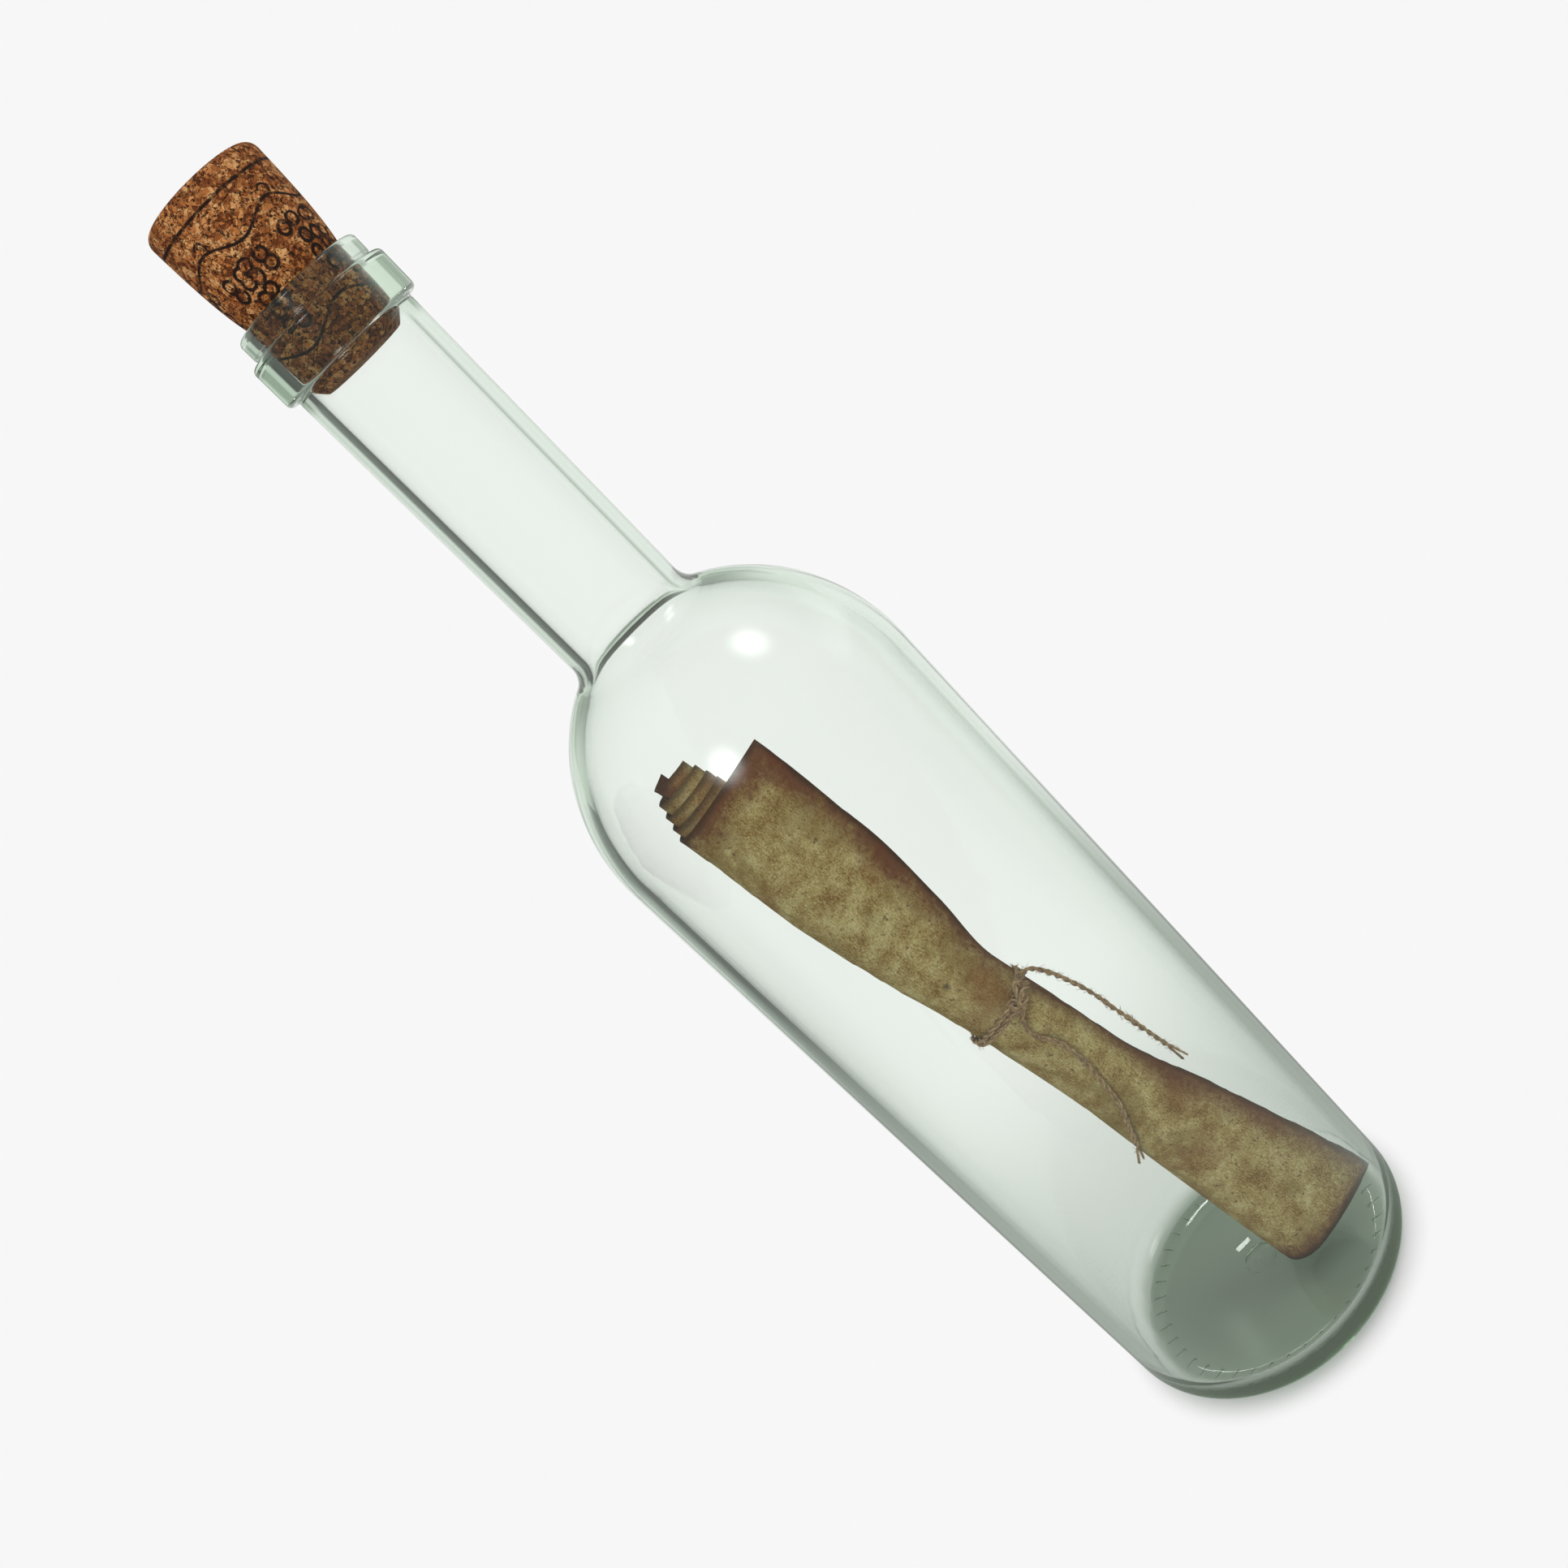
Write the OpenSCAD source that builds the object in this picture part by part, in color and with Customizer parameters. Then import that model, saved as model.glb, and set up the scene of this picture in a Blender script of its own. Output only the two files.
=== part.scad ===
// A message in a bottle: a clear round bottle with a tapered cork in its neck, and inside it
// a rolled sheet of parchment, tied round its waist with twine that ends in two loose tails.
// Millimetres, +Z up. The origin is the middle of the ring that the bottle stands on.

/* [Bottle] */
// Height of the bottle, from the table to the lip
bottle_h = 298.5; // [270:0.5:330]
// Outer radius of the body
body_r = 37.5; // [36:0.5:42]
// Thickness of the body's wall
body_wall = 3; // [2:0.1:3.1]
// Height at which the straight body ends and the shoulder starts
shoulder_z = 176.7; // [170:0.1:195]
// Height of the shoulder, from the straight body to the line of the neck
shoulder_h = 40; // [34:0.1:44]
// Radius of the fillet between the shoulder and the neck
throat_fillet_r = 5; // [2:0.5:8]
// Radius of the rounded heel
heel_r = 7; // [5:0.5:9]
// Thickness of the glass floor above the standing ring
floor_t = 4; // [3:0.5:4.5]
// Rise of the inside floor at its centre
floor_rise = 1.5; // [0.5:0.1:2]
// Depth of the hollow under the base
punt_h = 2; // [1:0.1:3]
// Inner radius of the standing ring
standing_r = 28; // [26:0.5:29]

/* [Base knurls] */
// Number of short grips moulded round the standing ring
knurl_count = 40; // [24:1:48]
// Depth of a grip
knurl_depth = 0.25; // [0.1:0.05:0.3]
// Radius of the round groove of a grip
knurl_r = 0.6; // [0.4:0.05:0.8]
// Radius of the round mould mark under the centre of the base
mark_r = 4; // [3:0.5:6]

/* [Neck] */
// Radius of the bore through the neck
bore_r = 11.1; // [10.5:0.05:11.4]
// Thickness of the neck's wall
neck_wall = 2.75; // [2:0.05:3.5]
// Radius of the collar below the lip
collar_r = 15.75; // [15.2:0.05:17]
// Height of the collar
collar_h = 9.2; // [6:0.1:12]
// Radius of the lip above the collar
lip_r = 14; // [13.8:0.05:15]
// Height of the lip above the collar
lip_h = 4.3; // [3:0.1:6]
// Rounding of the collar's and the lip's edges
edge_r = 0.9; // [0.4:0.1:1.2]

/* [Cork] */
// Length of the cork that stands out of the neck
cork_out = 21.8; // [12:0.1:26]
// Length of the cork inside the neck
cork_in = 16.2; // [14:0.1:24]
// Radial clearance of the cork in the bore
cork_gap = 0.05; // [0.02:0.01:0.1]
// How much wider the free head of the cork is, in radius, than the part in the neck
cork_swell = 1.7; // [1:0.1:2.2]
// Height over which most of that swelling takes place
cork_swell_h = 7; // [3:0.5:9]
// Rounding of the top edge
cork_round = 2; // [1:0.1:3]
// Bevel of the bottom edge
cork_bevel = 1.8; // [1:0.1:2.5]
// Narrowing of the cork, in radius, towards its bottom
cork_taper = 0.3; // [0.1:0.05:0.5]

/* [Parchment] */
// Height of the sheet along the roll
sheet_h = 165; // [150:1:168]
// Thickness of the sheet
sheet_t = 0.4; // [0.3:0.05:0.45]
// Radius of the tightly rolled part
roll_r = 8.5; // [7.8:0.1:8.8]
// Clearance between the roll's upper end and the glass that it leans on
roll_gap = 0.2; // [0.2:0.05:1]
// Distance from one layer to the next
layer_pitch = 0.8; // [0.75:0.05:0.85]
// Further closing of the innermost layers
core_close = 0.45; // [0.3:0.05:0.5]
// Number of turns in the roll
roll_turns = 4.72; // [4:0.01:4.9]
// How far each turn inwards has slid upwards
layer_lift = 2.8; // [1.5:0.1:3]
// Height of the outer layer's lower edge, on the roll's centre line
roll_foot_z = 7.8; // [7.6:0.1:10]

/* [Twine] */
// Diameter of the twine
twine_d = 0.9; // [0.8:0.05:1]
// Distance between the two turns round the waist
wrap_pitch = 1.5; // [1.4:0.05:2]
// Number of turns round the waist
wrap_turns = 2; // [1:1:3]
// Clearance between the twine and the parchment
twine_gap = 0.25; // [0.1:0.05:0.3]
// Size of the knot's loops
knot_size = 0.9; // [0.88:0.01:1]

/* [Hidden] */

neck_r = bore_r + neck_wall;
inner_r = body_r - body_wall;
inner_heel_r = heel_r - 1;
lip_z = bottle_h - lip_h;
collar_z = lip_z - collar_h;
groove_h = 0.4;
groove_r = lip_r - 0.4;
cork_r = bore_r - cork_gap;
arc_steps = 8;
shoulder_steps = 20;
floor_steps = 8;
round_fn = 128;

function arc(x, z, r, a0, a1, steps) =
    [for (i = [0:steps]) let (a = a0 + (a1 - a0) * i / steps) [x + r * cos(a), z + r * sin(a)]];
function unit(v) = v / norm(v);
function ease(u) = let (w = max(0, min(1, u))) w * w * (3 - 2 * w);

// A shoulder is a quarter ellipse, rx wide and rz high, rounded into a neck of radius r by a
// fillet. Its angle is found by halving: there the fillet's centre stands over the neck's wall.
function shoulder_normal(a, rx, rz) = unit([cos(a) / rx, sin(a) / rz]);
function shoulder_point(a, rx, rz) = [rx * cos(a), shoulder_z + rz * sin(a)];
function fillet_angle(rx, rz, r, f, lo = 20, hi = 89, n = 24) =
    let (mid = (lo + hi) / 2, x = rx * cos(mid) + f * shoulder_normal(mid, rx, rz)[0])
    n == 0 ? mid : x > r + f ? fillet_angle(rx, rz, r, f, mid, hi, n - 1)
                             : fillet_angle(rx, rz, r, f, lo, mid, n - 1);
function shoulder(rx, rz, r, f) =
    let (end = fillet_angle(rx, rz, r, f),
         normal = shoulder_normal(end, rx, rz),
         centre = shoulder_point(end, rx, rz) + f * normal,
         start = atan2(-normal[1], -normal[0]) + 360)
    concat([for (i = [0:shoulder_steps]) shoulder_point(end * i / shoulder_steps, rx, rz)],
           [for (i = [1:arc_steps]) let (a = start + (180 - start) * i / arc_steps)
                centre + f * [cos(a), sin(a)]]);
function reversed(list) = [for (i = [len(list) - 1:-1:0]) list[i]];

function floor_z(r) = floor_t + floor_rise * (1 + cos(180 * r / (inner_r - inner_heel_r))) / 2;
function punt_z(r) = punt_h * (1 + cos(180 * r / standing_r)) / 2;

outer_wall = concat(
    arc(body_r - heel_r, heel_r, heel_r, -90, 0, arc_steps),
    shoulder(body_r, shoulder_h, neck_r, throat_fillet_r),
    [[neck_r, collar_z]],
    arc(collar_r - edge_r, collar_z + edge_r, edge_r, -90, 0, arc_steps),
    arc(collar_r - edge_r, lip_z - groove_h - edge_r, edge_r, 0, 90, arc_steps),
    [[groove_r, lip_z - groove_h], [groove_r, lip_z]],
    [[lip_r, lip_z + groove_h]],
    arc(lip_r - edge_r, bottle_h - edge_r, edge_r, 0, 90, arc_steps));
inner_wall = concat(
    [for (i = [0:floor_steps]) let (r = (inner_r - inner_heel_r) * i / floor_steps) [r, floor_z(r)]],
    arc(inner_r - inner_heel_r, floor_t + inner_heel_r, inner_heel_r, -80, 0, arc_steps),
    shoulder(inner_r, shoulder_h - body_wall, bore_r, throat_fillet_r + neck_wall),
    arc(bore_r + edge_r, bottle_h - edge_r, edge_r, 180, 90, arc_steps));
underside = [for (i = [0:floor_steps]) let (r = standing_r * i / floor_steps) [r, punt_z(r)]];

module bottle() {
    color("honeydew", 0.35)
        difference() {
            rotate_extrude($fn = round_fn) polygon(concat(underside, outer_wall, reversed(inner_wall)));
            for (i = [0:knurl_count - 1])
                rotate([0, 90, 360 * (i + 0.5) / knurl_count])
                    translate([knurl_r - knurl_depth, 0, standing_r])
                        cylinder(r = knurl_r, h = heel_r, $fn = 24);
            cylinder(r = mark_r, h = punt_h + knurl_depth, $fn = 64);
        }
}

// Radius of the free head of the cork at a height above the lip
function cork_head_r(z) = cork_r + cork_swell * (1 - exp(-z / cork_swell_h));
cork_top_r = cork_head_r(cork_out - cork_round);
cork_profile = concat(
    [[0, -cork_in], [cork_r - cork_taper - cork_bevel, -cork_in],
     [cork_r - cork_taper, cork_bevel - cork_in], [cork_r, -cork_in / 2]],
    [for (i = [0:2 * arc_steps]) let (z = (cork_out - cork_round) * i / (2 * arc_steps))
        [cork_head_r(z), z]],
    [for (i = [1:arc_steps]) let (a = 90 * i / arc_steps)
        [cork_top_r - cork_round * (1 - cos(a)), cork_out - cork_round * (1 - sin(a))]],
    [[0, cork_out]]);

module cork() {
    color("peru")
        translate([0, 0, bottle_h])
            rotate_extrude($fn = round_fn) polygon(cork_profile);
}

// The roll leans against the wall. Each station is a share of the sheet's height, the centre
// line's offset from a straight line, and how far the loose outer edge stands off there.
roll_foot = [12.6, -8];
roll_side = 133;
roll_head = (inner_r - 1.03 * (roll_r + sheet_t / 2) - roll_gap) * [cos(roll_side), sin(roll_side)];
roll_stations = [[0, 0, 10.9], [0.23, 1.1, 5.6], [0.39, 2.2, 0.2], [0.58, 1.4, 0.2],
                 [0.69, -0.2, 5.6], [0.83, -1, 10.2], [1, -0.1, 10.9]];
last_station = len(roll_stations) - 1;
sheet_rows = [0, 0.14, 0.27, 0.39, 0.48, 0.58, 0.69, 0.83, 1];
sheet_cols = 68;
roll_axis = unit([roll_head[0] - roll_foot[0], roll_head[1] - roll_foot[1], sheet_h]);
roll_right = unit(cross([0, 1, 0], roll_axis));
roll_back = cross(roll_axis, roll_right);

// A column of the stations is read off a smooth curve through them, which never overshoots.
function station_rise(i, k) =
    let (a = roll_stations[i], b = roll_stations[i + 1]) (b[k] - a[k]) / (b[0] - a[0]);
function station_slope(i, k) =
    i == 0 || i == last_station ? 0 :
    let (p = station_rise(i - 1, k), q = station_rise(i, k)) p * q > 0 ? 2 * p * q / (p + q) : 0;
function station(u, k, i = 0) =
    let (a = roll_stations[i], b = roll_stations[i + 1], h = b[0] - a[0],
         v = max(0, min(1, (u - a[0]) / h)))
    u <= b[0] || i == last_station - 1
        ? a[k] * (1 - ease(v)) + b[k] * ease(v)
          + h * v * (1 - v) * ((1 - v) * station_slope(i, k) - v * station_slope(i + 1, k))
        : station(u, k, i + 1);
function spine(z) =
    let (u = (z - roll_foot_z) / sheet_h, p = roll_foot + (roll_head - roll_foot) * u)
    [p[0] + station(u, 1), p[1], z];
// Radius of the sheet's middle at a number of turns in from its loose edge
function layer_r(t, z) =
    roll_r - layer_pitch * t - core_close * pow(max(0, t - 3), 2)
    + station((z - roll_foot_z) / sheet_h, 2) * pow(max(0, 1 - t / 0.5), 2);
function sheet_point(t, z, side) =
    let (r = layer_r(t, z) + side * sheet_t / 2, a = 360 * t)
    spine(z) + r * (cos(a) * roll_right - sin(a) * roll_back)
    + [0, 0, layer_lift * max(0, t - 0.5)];

module parchment() {
    points = [for (side = [1, -1], i = [0:sheet_cols], u = sheet_rows)
        sheet_point(roll_turns * i / sheet_cols, roll_foot_z + sheet_h * u, side)];
    rows = len(sheet_rows);
    inside = rows * (sheet_cols + 1);
    function face(a, b, c, d) = [[a, b, c], [a, c, d]];
    cells = [for (i = [0:sheet_cols - 1], k = [0:rows - 2]) i * rows + k];
    ends = [for (k = [0:rows - 2]) k];
    last = sheet_cols * rows;
    top = rows - 1;
    faces = concat(
        [for (c = cells, f = face(c, c + 1, c + rows + 1, c + rows)) f],
        [for (c = cells, f = face(inside + c, inside + c + rows, inside + c + rows + 1,
                                  inside + c + 1)) f],
        [for (k = ends, f = face(k, inside + k, inside + k + 1, k + 1)) f],
        [for (k = ends, f = face(last + k, last + k + 1, last + inside + k + 1,
                                 last + inside + k)) f],
        [for (i = [0:sheet_cols - 1], f = face(i * rows, (i + 1) * rows, inside + (i + 1) * rows,
                                               inside + i * rows)) f],
        [for (i = [0:sheet_cols - 1], f = face(i * rows + top, inside + i * rows + top,
                                               inside + (i + 1) * rows + top,
                                               (i + 1) * rows + top)) f]);
    color("darkkhaki") polyhedron(points, faces);
}

// A tube of a number of sides along a route. The side vector is never along the route.
function tangent(route, i, closed) =
    let (n = len(route))
    closed ? unit(route[(i + 1) % n] - route[(i + n - 1) % n])
           : unit(route[min(n - 1, i + 1)] - route[max(0, i - 1)]);
module tube(route, d, sides, beside, closed = false) {
    n = len(route);
    points = [for (i = [0:n - 1])
        let (t = tangent(route, i, closed), u = unit(cross(t, beside)), v = cross(t, u))
        for (k = [0:sides - 1]) let (a = 360 * k / sides) route[i] + d / 2 * (cos(a) * u + sin(a) * v)];
    spans = closed ? n : n - 1;
    walls = [for (i = [0:spans - 1], k = [0:sides - 1])
        let (a = i * sides + k, b = i * sides + (k + 1) % sides,
             c = ((i + 1) % n) * sides + (k + 1) % sides, e = ((i + 1) % n) * sides + k)
        for (f = [[a, c, b], [a, e, c]]) f];
    caps = closed ? [] : [
        for (k = [1:sides - 2]) [0, k, k + 1],
        for (k = [1:sides - 2]) [(n - 1) * sides, (n - 1) * sides + k + 1, (n - 1) * sides + k]];
    polyhedron(points, concat(walls, caps));
}

// Least gap between two stretches of a tube that are at least skip points apart along it
function least_gap(route, d, skip, closed) =
    let (n = len(route))
    min([for (i = [0:n - 1], j = [i + skip:n - 1]) if (!closed || i + n - j >= skip)
        norm(route[i] - route[j])]) - d;

// The twine follows the outer layer, and climbs towards the knot's side faster than the roll leans.
waist_z = 98;
waist_climb = [0.25, 0.13];
wrap_r = roll_r + (sheet_t + twine_d) / 2 + twine_gap;
wrap_rings = 24;
knot_angle = 57;
function round_waist(a, r, z) =
    spine(waist_z + z + r * (waist_climb[0] * cos(a) - waist_climb[1] * sin(a)))
    + r * (cos(a) * roll_right - sin(a) * roll_back);
wrap_route = [for (i = [0:wrap_rings * wrap_turns]) let (t = i / wrap_rings)
    round_waist(knot_angle + 360 * t, wrap_r, wrap_pitch * (t - wrap_turns / 2))];

module twine_wrap() {
    echo(least_gap_of_wrap = least_gap(wrap_route, twine_d, wrap_rings / 2, false));
    color("rosybrown") tube(wrap_route, twine_d, 6, roll_axis);
}

// The knot is a flattened three-lobed loop, its face turned outwards.
knot_rings = 60;
knot_stretch = [1.2, 1, 1];
knot_depth = knot_size * knot_stretch[2];
knot_r = wrap_r + knot_depth;
knot_centre = round_waist(knot_angle, knot_r, 0);
knot_along = unit(round_waist(knot_angle - 5, knot_r, 0) - round_waist(knot_angle + 5, knot_r, 0));
knot_up = unit(roll_axis - (roll_axis * knot_along) * knot_along);
knot_out = cross(knot_along, knot_up);
knot_route = [for (i = [0:knot_rings - 1])
    let (a = 360 * i / knot_rings, r = knot_size * (2 + cos(3 * a)))
    knot_centre + r * cos(2 * a) * knot_stretch[0] * knot_along
    + r * sin(2 * a) * knot_stretch[1] * knot_up + knot_depth * sin(3 * a) * knot_out];

module twine_knot() {
    echo(least_gap_of_knot = least_gap(knot_route, twine_d, knot_rings / 6, true));
    color("rosybrown") tube(knot_route, twine_d, 6, knot_out, closed = true);
}

side_tail_route = [[6, -0.4, 101.9], [8.3, 0.6, 101.2], [9.9, 1.5, 99.1], [11.2, 2, 96.4],
                   [12.3, 2.2, 93.6], [13.2, 2.4, 90.8], [14.1, 2.5, 88], [14.9, 2.5, 85.1],
                   [15.5, 2.5, 82.1], [16, 2.5, 79.2], [16.5, 2.5, 76.3], [17, 2.5, 73.3],
                   [17.5, 2.5, 70.4], [18, 2.5, 67.4], [18.5, 2.5, 64.5], [19.1, 2.5, 61.6],
                   [19.7, 2.5, 58.6], [20.3, 2.5, 55.7]];
front_tail_route = [[2.7, -3.4, 98.1], [1.1, -3.9, 97.3], [-0.2, -4.1, 95.9], [-1, -4.2, 94.2],
                    [-1.1, -4.3, 92.3], [-0.4, -4.5, 90.6], [1, -4.9, 88.5], [2.2, -5.3, 85.8],
                    [2.7, -5.8, 82.6], [2.9, -6.4, 79.2], [2.7, -6.9, 75.9], [2.5, -7.3, 72.9],
                    [2.3, -7.7, 70], [1.9, -8, 67.1], [1.1, -8.1, 64.3], [0, -8, 61.5],
                    [-0.9, -7.8, 58.7], [-1.7, -7.2, 55.9], [-2.6, -6.4, 53.2], [-3.6, -5.6, 50.5]];

module twine_tail_side() {
    color("rosybrown") tube(side_tail_route, twine_d, 8, [0, 1, 0]);
}
module twine_tail_front() {
    color("rosybrown") tube(front_tail_route, twine_d, 8, [0, 1, 0]);
}

bottle();
cork();
parchment();
twine_wrap();
twine_knot();
twine_tail_side();
twine_tail_front();
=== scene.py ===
# %% [markdown]
# A message in a bottle
#
# A clear, faintly green bottle stands on a pale table. A cork of pressed granules closes its neck,
# and a roll of old parchment, tied with jute twine, leans against the glass inside it.
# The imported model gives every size, and each piece here is made in the same frame, in metres.
# The cells follow the order of work: the camera, the twine, the roll, the cork, the glass,
# and last the table and the lamps.

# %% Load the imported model
import math
import random

import bmesh
import bpy
from mathutils import Matrix, Vector


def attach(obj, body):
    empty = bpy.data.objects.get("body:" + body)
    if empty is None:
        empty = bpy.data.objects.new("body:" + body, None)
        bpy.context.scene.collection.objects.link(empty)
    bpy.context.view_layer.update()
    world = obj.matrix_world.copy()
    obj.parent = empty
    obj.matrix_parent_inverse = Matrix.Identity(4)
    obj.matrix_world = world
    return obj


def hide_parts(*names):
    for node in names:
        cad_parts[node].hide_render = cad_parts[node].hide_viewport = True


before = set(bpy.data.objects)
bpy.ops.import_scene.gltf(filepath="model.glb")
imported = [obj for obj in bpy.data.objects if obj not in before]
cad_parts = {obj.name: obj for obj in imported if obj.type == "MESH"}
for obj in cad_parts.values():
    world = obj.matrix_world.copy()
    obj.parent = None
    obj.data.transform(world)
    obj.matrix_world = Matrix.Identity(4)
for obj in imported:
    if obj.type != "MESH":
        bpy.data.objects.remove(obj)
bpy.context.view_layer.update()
MM = 0.001
print("nodes:", sorted(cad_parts))

# %% [markdown]
# The camera comes first, because every later choice is judged through it. The bottle stands
# upright on the table and the camera is rolled by 45 degrees, so the bottle lies across the
# picture from corner to corner. The camera looks down at a point 170 mm up, just beside the axis.
# Turning the bottle instead would give the same picture, but then the table and every lamp would
# have to turn too.

# %% Camera
look_at = Vector((-0.64, 0, 170)) * MM
camera_distance = 307.9 * MM
camera_tilt = math.radians(18.4)
camera_roll = math.radians(-44.95)

camera_data = bpy.data.cameras.new("camera")
camera_data.lens = 35
camera_data.sensor_width = 36
camera_data.clip_start = 0.01
camera = bpy.data.objects.new("camera", camera_data)
bpy.context.collection.objects.link(camera)
towards_camera = Vector((0, -math.cos(camera_tilt), math.sin(camera_tilt)))
camera.location = look_at + camera_distance * towards_camera
level = (-towards_camera).to_track_quat("-Z", "Y").to_matrix().to_4x4()
camera.rotation_euler = (level @ Matrix.Rotation(camera_roll, 4, "Z")).to_euler()
bpy.context.scene.camera = camera
print("camera at", [round(v, 4) for v in camera.location])

# %% [markdown]
# A finish is a small network of shader nodes. To keep the networks readable, a value in one is
# wrapped in a class that knows plus, minus and times, so a formula is written as a formula.
# One method adds any other node. Patterns could also be painted on images, but a pattern that is
# worked out stays sharp at any distance and needs no file.


# %% Shader maths
class Wire:
    """One value in a finish. Sums and products of wires add Math nodes."""

    def __init__(self, finish, socket):
        self.finish = finish
        self.socket = socket

    def math(self, operation, *others):
        values = dict(enumerate((self, *others)))
        return self.finish.node("ShaderNodeMath", {"operation": operation}, values)

    def __add__(self, other):
        return self.math("ADD", other)

    def __sub__(self, other):
        return self.math("SUBTRACT", other)

    def __rsub__(self, other):
        return self.finish.node("ShaderNodeMath", {"operation": "SUBTRACT"}, {0: other, 1: self})

    def __mul__(self, other):
        return self.math("MULTIPLY", other)

    def power(self, exponent):
        return self.math("POWER", exponent)

    def smallest(self, other):
        return self.math("MINIMUM", other)

    def largest(self, other):
        return self.math("MAXIMUM", other)

    def size(self):
        return self.math("ABSOLUTE")

    def step(self, low, high):
        """0 below low and 1 above high, with a soft edge; low may be the larger one."""
        settings = {"interpolation_type": "SMOOTHSTEP"}
        if low < high:
            values = {"Value": self, "From Min": low, "From Max": high}
        else:
            values = {"Value": self, "From Min": high, "From Max": low, "To Min": 1.0, "To Max": 0.0}
        return self.finish.node("ShaderNodeMapRange", settings, values)


class Finish:
    """A material whose Principled shader is filled in by name."""

    def __init__(self, name, **plain):
        self.material = bpy.data.materials.new(name)
        self.material.use_nodes = True
        self.tree = self.material.node_tree
        self.surface = self.tree.nodes["Principled BSDF"]
        self.output = self.tree.nodes["Material Output"]
        for socket, value in plain.items():
            self.set(socket.replace("_", " "), value)

    def set(self, socket, value):
        if isinstance(value, Wire):
            self.tree.links.new(value.socket, self.surface.inputs[socket])
        else:
            self.surface.inputs[socket].default_value = value

    def node(self, kind, settings=None, values=None, out=0):
        node = self.tree.nodes.new(kind)
        for key, value in (settings or {}).items():
            if key == "stops":
                ramp = node.color_ramp.elements
                while len(ramp) < len(value):
                    ramp.new(0.5)
                for element, (place, colour) in zip(ramp, value):
                    element.position = place
                    element.color = (*colour, 1)
            else:
                setattr(node, key, value)
        for key, value in (values or {}).items():
            if isinstance(value, Wire):
                self.tree.links.new(value.socket, node.inputs[key])
            else:
                node.inputs[key].default_value = value
        return Wire(self, node.outputs[out])

    def place(self):
        """Object coordinates: metres in the shared frame, because every piece stands at its origin."""
        return self.node("ShaderNodeTexCoord", out="Object")

    def sheet_place(self, scale=(1, 1, 1)):
        """The piece's own UV map, stretched."""
        here = self.node("ShaderNodeTexCoord", out="UV")
        return self.node("ShaderNodeMapping", None, {"Vector": here, "Scale": scale})

    def apart(self, vector, out):
        return self.node("ShaderNodeSeparateXYZ", None, {"Vector": vector}, out)

    def noise(self, where, scale, detail=4.0, roughness=0.55, distortion=0.0):
        values = {"Vector": where, "Scale": scale, "Detail": detail, "Roughness": roughness,
                  "Distortion": distortion}
        return self.node("ShaderNodeTexNoise", None, values, "Fac")

    def cells(self, where, scale, out="Distance", feature="F1"):
        values = {"Vector": where, "Scale": scale}
        return self.node("ShaderNodeTexVoronoi", {"feature": feature}, values, out)

    def ramp(self, value, stops):
        return self.node("ShaderNodeValToRGB", {"stops": stops}, {"Fac": value})

    def mix(self, share, first, second):
        """A colour between two. Sockets 6 and 7 of a Mix node are its colours, and output 2 the result."""
        first, second = [(*c, 1) if isinstance(c, tuple) else c for c in (first, second)]
        return self.node("ShaderNodeMix", {"data_type": "RGBA"}, {0: share, 6: first, 7: second}, 2)

    def bump(self, height, distance):
        values = {"Height": height, "Distance": distance}
        self.set("Normal", self.node("ShaderNodeBump", None, values))

    def light_path(self, out):
        return self.node("ShaderNodeLightPath", out=out)


def paint(red, green, blue):
    """A colour as it is read off a photograph, 0 to 255, as linear light."""
    return tuple((c / 255 / 12.92) if c < 10 else ((c / 255 + 0.055) / 1.055) ** 2.4
                 for c in (red, green, blue))


# %% [markdown]
# Every new piece is finished the same way: it becomes an object at the origin, it is told which
# body of the model it moves with, and which material slot it takes its finish from.


# %% Placing a piece
def add_piece(name, mesh, finish, body, replaces=()):
    piece = bpy.data.objects.new(name, mesh)
    bpy.context.collection.objects.link(piece)
    piece.data.materials.clear()
    piece.data.materials.append(finish.material)
    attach(piece, body)
    if replaces:
        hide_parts(*replaces)
    return piece


def mesh_from(bm, name, smooth=True):
    mesh = bpy.data.meshes.new(name)
    bm.to_mesh(mesh)
    bm.free()
    for face in mesh.polygons:
        face.use_smooth = smooth
    return mesh


# %% [markdown]
# The twine is jute: two strands twisted round each other, with fine fibres standing off. A cord
# follows a route, and here the route's points are the same round numbers as in the model. They are
# joined by a smooth curve, and two strands wind round that curve, half a turn apart. One tube with
# a twisted pattern would be lighter, but its outline would be smooth, and real twine is notched.

# %% Routes of the twine
twine_d = 0.9 * MM
side_tail = [(6, -0.4, 101.9), (8.3, 0.6, 101.2), (9.9, 1.5, 99.1), (11.2, 2, 96.4),
             (12.3, 2.2, 93.6), (13.2, 2.4, 90.8), (14.1, 2.5, 88), (14.9, 2.5, 85.1),
             (15.5, 2.5, 82.1), (16, 2.5, 79.2), (16.5, 2.5, 76.3), (17, 2.5, 73.3),
             (17.5, 2.5, 70.4), (18, 2.5, 67.4), (18.5, 2.5, 64.5), (19.1, 2.5, 61.6),
             (19.7, 2.5, 58.6), (20.3, 2.5, 55.7)]
front_tail = [(2.7, -3.4, 98.1), (1.1, -3.9, 97.3), (-0.2, -4.1, 95.9), (-1, -4.2, 94.2),
              (-1.1, -4.3, 92.3), (-0.4, -4.5, 90.6), (1, -4.9, 88.5), (2.2, -5.3, 85.8),
              (2.7, -5.8, 82.6), (2.9, -6.4, 79.2), (2.7, -6.9, 75.9), (2.5, -7.3, 72.9),
              (2.3, -7.7, 70), (1.9, -8, 67.1), (1.1, -8.1, 64.3), (0, -8, 61.5),
              (-0.9, -7.8, 58.7), (-1.7, -7.2, 55.9), (-2.6, -6.4, 53.2), (-3.6, -5.6, 50.5)]


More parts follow.
